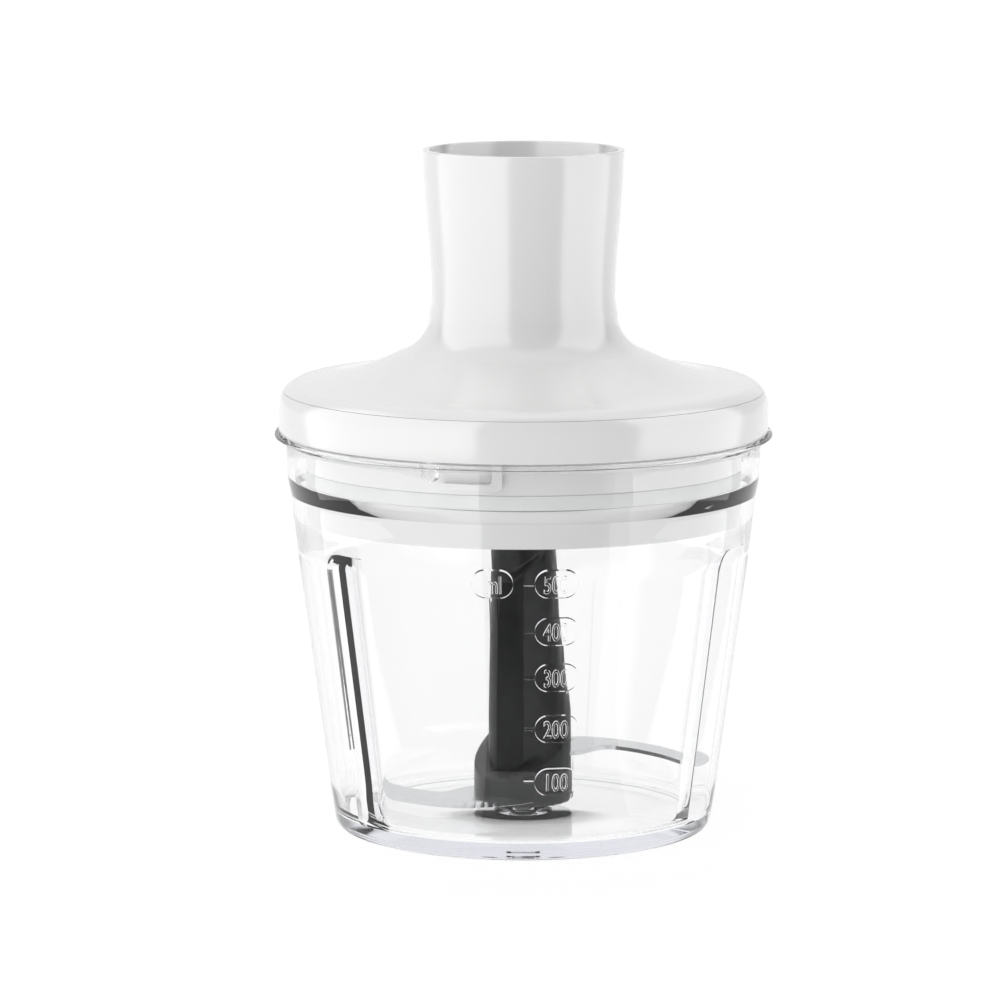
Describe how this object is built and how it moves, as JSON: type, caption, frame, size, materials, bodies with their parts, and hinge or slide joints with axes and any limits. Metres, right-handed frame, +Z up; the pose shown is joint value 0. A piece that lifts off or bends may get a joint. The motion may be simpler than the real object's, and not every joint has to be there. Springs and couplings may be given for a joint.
{
  "type": "food processor",
  "caption": "Clear tapered chopping bowl with a white geared lid and open drive neck, and a dark blade column with sickle blades turning on a floor spindle.",
  "frame": {"origin": "bottom centre of the bowl's foot ring", "axes": "+Z up along the spindle and the blade column, front towards -Y (the graduated side), +X to the right"},
  "size_m": [0.13, 0.13, 0.1778],
  "materials": {
    "clear_plastic": "clear polished moulding",
    "white_plastic": "gloss",
    "charcoal_plastic": "satin",
    "blade_steel": "ground and polished",
    "steel": "turned",
    "acetal": "natural acetal",
    "seal_rubber": "soft silicone",
    "bronze": "sintered"
  },
  "bodies": {
    "bowl": {"bowl": "clear_plastic", "spindle_pin": "steel", "thrust_washer": "acetal"},
    "blade_unit": {"blade_hub": "charcoal_plastic", "upper_blade": "blade_steel", "lower_blade": "blade_steel", "hub_bush_lower": "bronze", "hub_bush_upper": "bronze"},
    "lid_seal": {"lid_seal": "seal_rubber"},
    "lid": {"lid_base": "white_plastic", "lid_cover": "white_plastic", "gear_housing": "acetal", "gear_cover": "acetal", "ring_gear": "acetal", "cover_screw_1": "steel", "cover_screw_2": "steel", "cover_screw_3": "steel", "cover_screw_4": "steel", "output_seal": "seal_rubber", "output_bush": "bronze", "input_bush": "bronze"},
    "carrier": {"output_socket": "charcoal_plastic", "planet_carrier": "acetal", "carrier_plate": "steel", "planet_pin_1": "steel", "planet_pin_2": "steel", "planet_pin_3": "steel"},
    "sun": {"sun_gear_shaft": "steel", "sun_circlip": "steel", "input_coupling": "charcoal_plastic"},
    "planet_1": {"planet_gear_1": "acetal"},
    "planet_2": {"planet_gear_2": "acetal"},
    "planet_3": {"planet_gear_3": "acetal"}
  },
  "joints": [
    {"name": "blade_spin", "type": "hinge", "parent": "bowl", "child": "blade_unit", "pos_m": [0, 0, 0.02], "axis": [0, 0, 1], "continuous": true},
    {"name": "lid_lift", "type": "slide", "parent": "bowl", "child": "lid_seal", "axis": [0, 0, 1], "range_m": [0, 0.06]},
    {"name": "lid_turn", "type": "hinge", "parent": "lid_seal", "child": "lid", "pos_m": [0, 0, 0.104], "axis": [0, 0, 1], "range_deg": [-13, 0]},
    {"name": "carrier_spin", "type": "hinge", "parent": "lid", "child": "carrier", "pos_m": [0, 0, 0.098], "axis": [0, 0, 1], "continuous": true},
    {"name": "sun_spin", "type": "hinge", "parent": "lid", "child": "sun", "pos_m": [0, 0, 0.118], "axis": [0, 0, 1], "continuous": true},
    {"name": "planet_spin_1", "type": "hinge", "parent": "carrier", "child": "planet_1", "pos_m": [0.015, 0, 0.106], "axis": [0, 0, 1], "continuous": true},
    {"name": "planet_spin_2", "type": "hinge", "parent": "carrier", "child": "planet_2", "pos_m": [-0.0075, 0.01299, 0.106], "axis": [0, 0, 1], "continuous": true},
    {"name": "planet_spin_3", "type": "hinge", "parent": "carrier", "child": "planet_3", "pos_m": [-0.0075, -0.01299, 0.106], "axis": [0, 0, 1], "continuous": true}
  ],
  "couplings": [
    {"joint": "carrier_spin", "follows": "sun_spin", "ratio": 0.2},
    {"joint": "blade_spin", "follows": "sun_spin", "ratio": 0.2},
    {"joint": "planet_spin_1", "follows": "sun_spin", "ratio": -0.53333},
    {"joint": "planet_spin_2", "follows": "sun_spin", "ratio": -0.53333},
    {"joint": "planet_spin_3", "follows": "sun_spin", "ratio": -0.53333}
  ]
}
